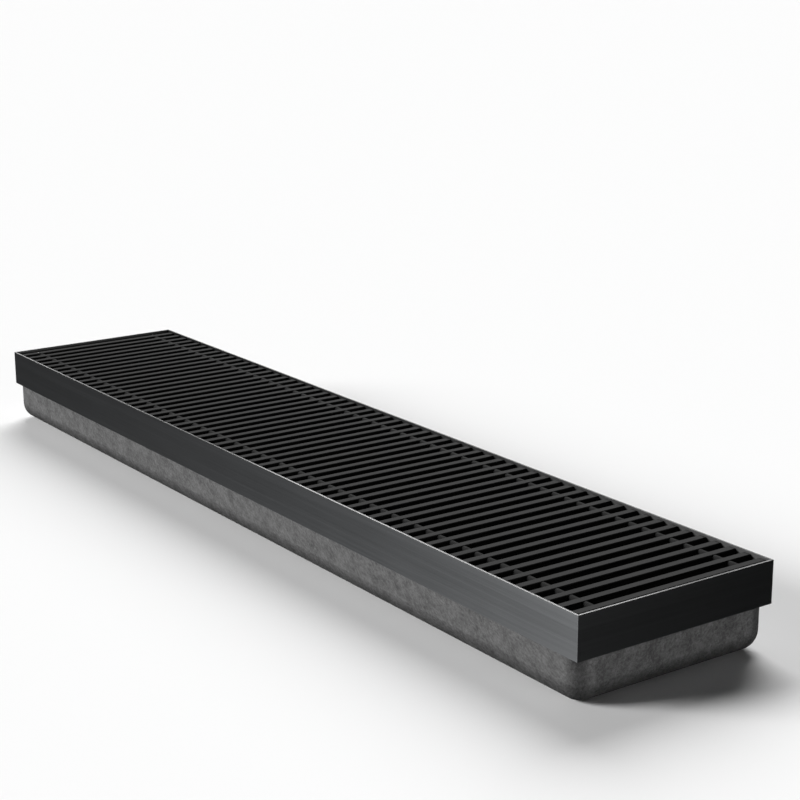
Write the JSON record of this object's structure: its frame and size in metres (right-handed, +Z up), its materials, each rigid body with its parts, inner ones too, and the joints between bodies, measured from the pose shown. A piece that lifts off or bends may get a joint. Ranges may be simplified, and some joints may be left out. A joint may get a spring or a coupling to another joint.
{
  "type": "trench convector heater",
  "caption": "Long shallow floor-trench heater: a round-edged pan under a mitred floor frame, a lift-out grille of cross bars, and a finned water coil with two valves inside.",
  "frame": {"origin": "centre of the pan's underside", "axes": "+X along the trench away from the pipe end, +Y across it towards the coil's side, +Z up"},
  "size_m": [0.9, 0.181, 0.069],
  "materials": {
    "pan_zinc": "bare zinc-coated sheet, mottled and lightly brushed",
    "frame_dark": "dark anodised, brushed along its length, with a bright top edge",
    "grille_black": "black anodised, satin",
    "black_sheet": "matt black coated sheet",
    "plain_aluminium": "mill finish",
    "fin_aluminium": "thin bright sheet",
    "zinc_steel": "bright zinc plate",
    "copper": "drawn copper tube, slightly tarnished",
    "nickel_brass": "nickel-plated brass casting",
    "brass": "turned brass",
    "rubber": "matt black rubber",
    "cap_plastic": "off-white moulded plastic"
  },
  "bodies": {
    "case": {"pan": "pan_zinc", "frame_front": "frame_dark", "frame_back": "frame_dark", "frame_left": "frame_dark", "frame_right": "frame_dark", "corner_cleats": "plain_aluminium", "frame_screws": "zinc_steel", "frame_nuts": "zinc_steel", "rest_strip_front": "rubber", "rest_strip_back": "rubber", "entry_grommets": "rubber", "earth_stud": "brass", "earth_nut": "brass", "fins": "fin_aluminium", "flow_tube": "copper", "return_tube": "copper", "return_bend": "copper", "tube_bushes": "rubber", "bracket_left": "zinc_steel", "bracket_right": "zinc_steel", "bracket_screws": "zinc_steel", "air_guide": "black_sheet", "guide_screws": "zinc_steel", "flow_valve_body": "nickel_brass", "flow_bonnet": "brass", "flow_union_nut": "nickel_brass", "return_valve_body": "nickel_brass", "return_union_nut": "nickel_brass", "bleed_boss": "brass"},
    "grille": {"grille_bars": "grille_black", "tie_rod_front": "zinc_steel", "tie_rod_back": "zinc_steel", "sleeves_front": "grille_black", "sleeves_back": "grille_black", "rod_nuts": "zinc_steel"},
    "hand_cap": {"flow_hand_cap": "cap_plastic"},
    "valve_pin": {"flow_pin": "zinc_steel"},
    "lock_spindle": {"return_spindle": "brass"},
    "lock_plug": {"return_plug": "brass"},
    "lock_cap": {"return_cap": "cap_plastic"},
    "bleed": {"bleed_screw": "brass"}
  },
  "joints": [
    {"name": "grille_lift", "type": "slide", "parent": "case", "child": "grille", "axis": [0, 0, 1], "range_m": [0, 0.12]},
    {"name": "hand_cap_turn", "type": "hinge", "parent": "case", "child": "hand_cap", "pos_m": [-0.3826, -0.0094, 0.029], "axis": [0, 1, 0], "range_deg": [0, 270]},
    {"name": "valve_pin_slide", "type": "slide", "parent": "case", "child": "valve_pin", "axis": [0, 1, 0], "range_m": [0, 0.0015]},
    {"name": "lock_cap_pull", "type": "slide", "parent": "case", "child": "lock_cap", "axis": [0, 0, 1], "range_m": [0, 0.005]},
    {"name": "lock_spindle_turn", "type": "hinge", "parent": "case", "child": "lock_spindle", "pos_m": [-0.3826, 0.0556, 0.039], "axis": [0, 0, -1], "range_deg": [0, 1080]},
    {"name": "lock_plug_slide", "type": "slide", "parent": "case", "child": "lock_plug", "axis": [0, 0, -1], "range_m": [0, 0.0025]},
    {"name": "bleed_turn", "type": "hinge", "parent": "case", "child": "bleed", "pos_m": [0.3646, 0.0206, 0.041], "axis": [0, 0, 1], "range_deg": [0, 360]}
  ],
  "couplings": [
    {"joint": "valve_pin_slide", "follows": "hand_cap_turn", "m_per_rad": 0.00031828},
    {"joint": "lock_spindle_turn", "follows": "lock_plug_slide", "rad_per_m": 7539.1}
  ]
}
